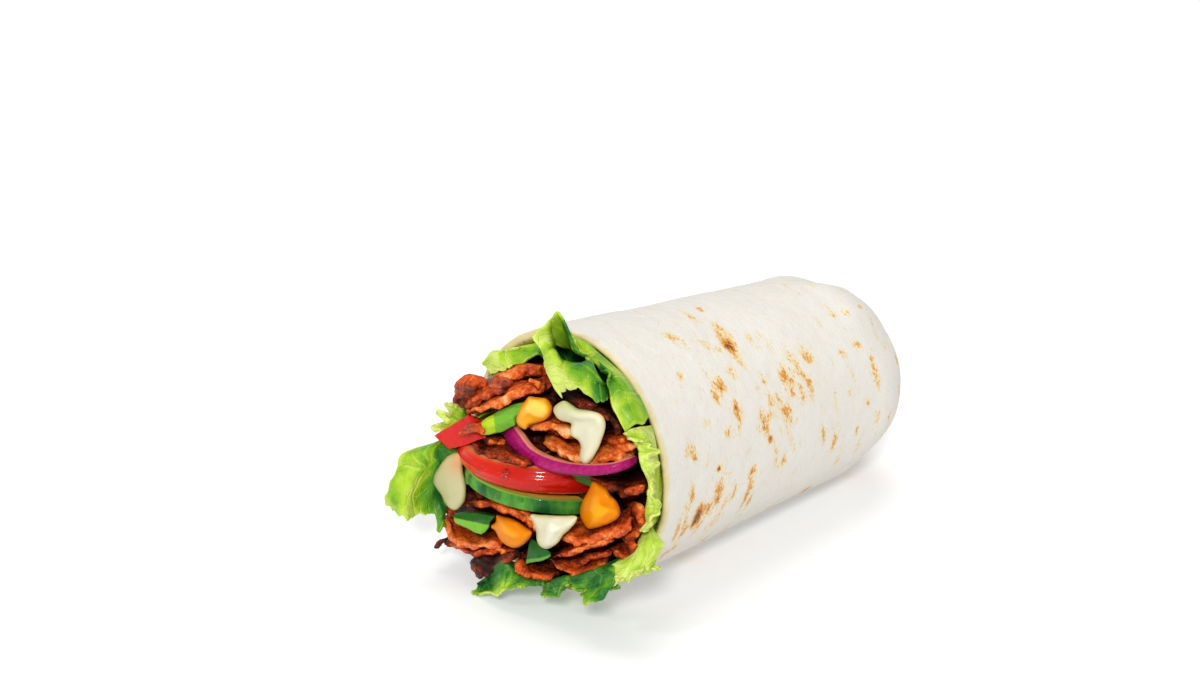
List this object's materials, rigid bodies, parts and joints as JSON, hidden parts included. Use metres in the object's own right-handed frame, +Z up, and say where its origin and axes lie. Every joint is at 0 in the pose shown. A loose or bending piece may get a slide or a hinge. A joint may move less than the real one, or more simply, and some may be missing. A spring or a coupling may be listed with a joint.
{
  "type": "steak wrap half",
  "caption": "Half of a rolled flour tortilla wrap, cut across, its mouth full of steak strips, lettuce, vegetable slices and sauce.",
  "frame": {"origin": "middle of the flat strip under the tortilla that the roll rests on, 48 mm behind the middle of the cut", "axes": "+Z up, +Y along the roll from the cut mouth to the folded end, +X to the right as the mouth is seen from the front"},
  "size_m": [0.082, 0.1564, 0.0799],
  "materials": {
    "tortilla": "matt, floury, with toasted flecks",
    "lettuce": "waxy leaf, pale ribs",
    "steak": "seared, moist",
    "tomato": "glossy skin, wet",
    "cucumber": "dark skin with paler stripes, wet",
    "red_onion": "glossy",
    "green_pepper": "glossy",
    "red_pepper": "glossy",
    "cheddar_sauce": "smooth, glossy",
    "white_sauce": "smooth, glossy"
  },
  "bodies": {
    "root": {"tortilla": "tortilla", "steak_core": "steak", "steak_chunk_top": "steak", "steak_chunk_under": "steak", "steak_top": "steak", "steak_long": "steak", "steak_wedge": "steak", "steak_under_cheddar": "steak", "steak_dark_top": "steak", "steak_inner_right": "steak", "steak_over_onion": "steak", "steak_left": "steak", "steak_right": "steak", "steak_under_cucumber": "steak", "steak_low_left": "steak", "steak_left_frayed": "steak", "steak_floor_left": "steak", "steak_right_glossy": "steak", "steak_right_low": "steak", "steak_right_wrap": "steak", "steak_low_right": "steak", "steak_low_centre": "steak", "leaf_top": "lettuce", "leaf_top_right": "lettuce", "leaf_right": "lettuce", "leaf_low_right": "lettuce", "leaf_low": "lettuce", "leaf_low_left": "lettuce", "leaf_left_low": "lettuce", "leaf_left_frill": "lettuce", "leaf_top_left": "lettuce", "tomato_slice": "tomato", "cucumber_slice": "cucumber", "red_onion_ring": "red_onion", "red_pepper_left": "red_pepper", "green_pepper_light": "green_pepper", "green_pepper_left": "green_pepper", "green_pepper_low": "green_pepper", "green_pepper_inner": "green_pepper", "cheddar_top": "cheddar_sauce", "cheddar_right": "cheddar_sauce", "cheddar_low": "cheddar_sauce", "white_top": "white_sauce", "white_left": "white_sauce", "white_low": "white_sauce"}
  },
  "joints": []
}
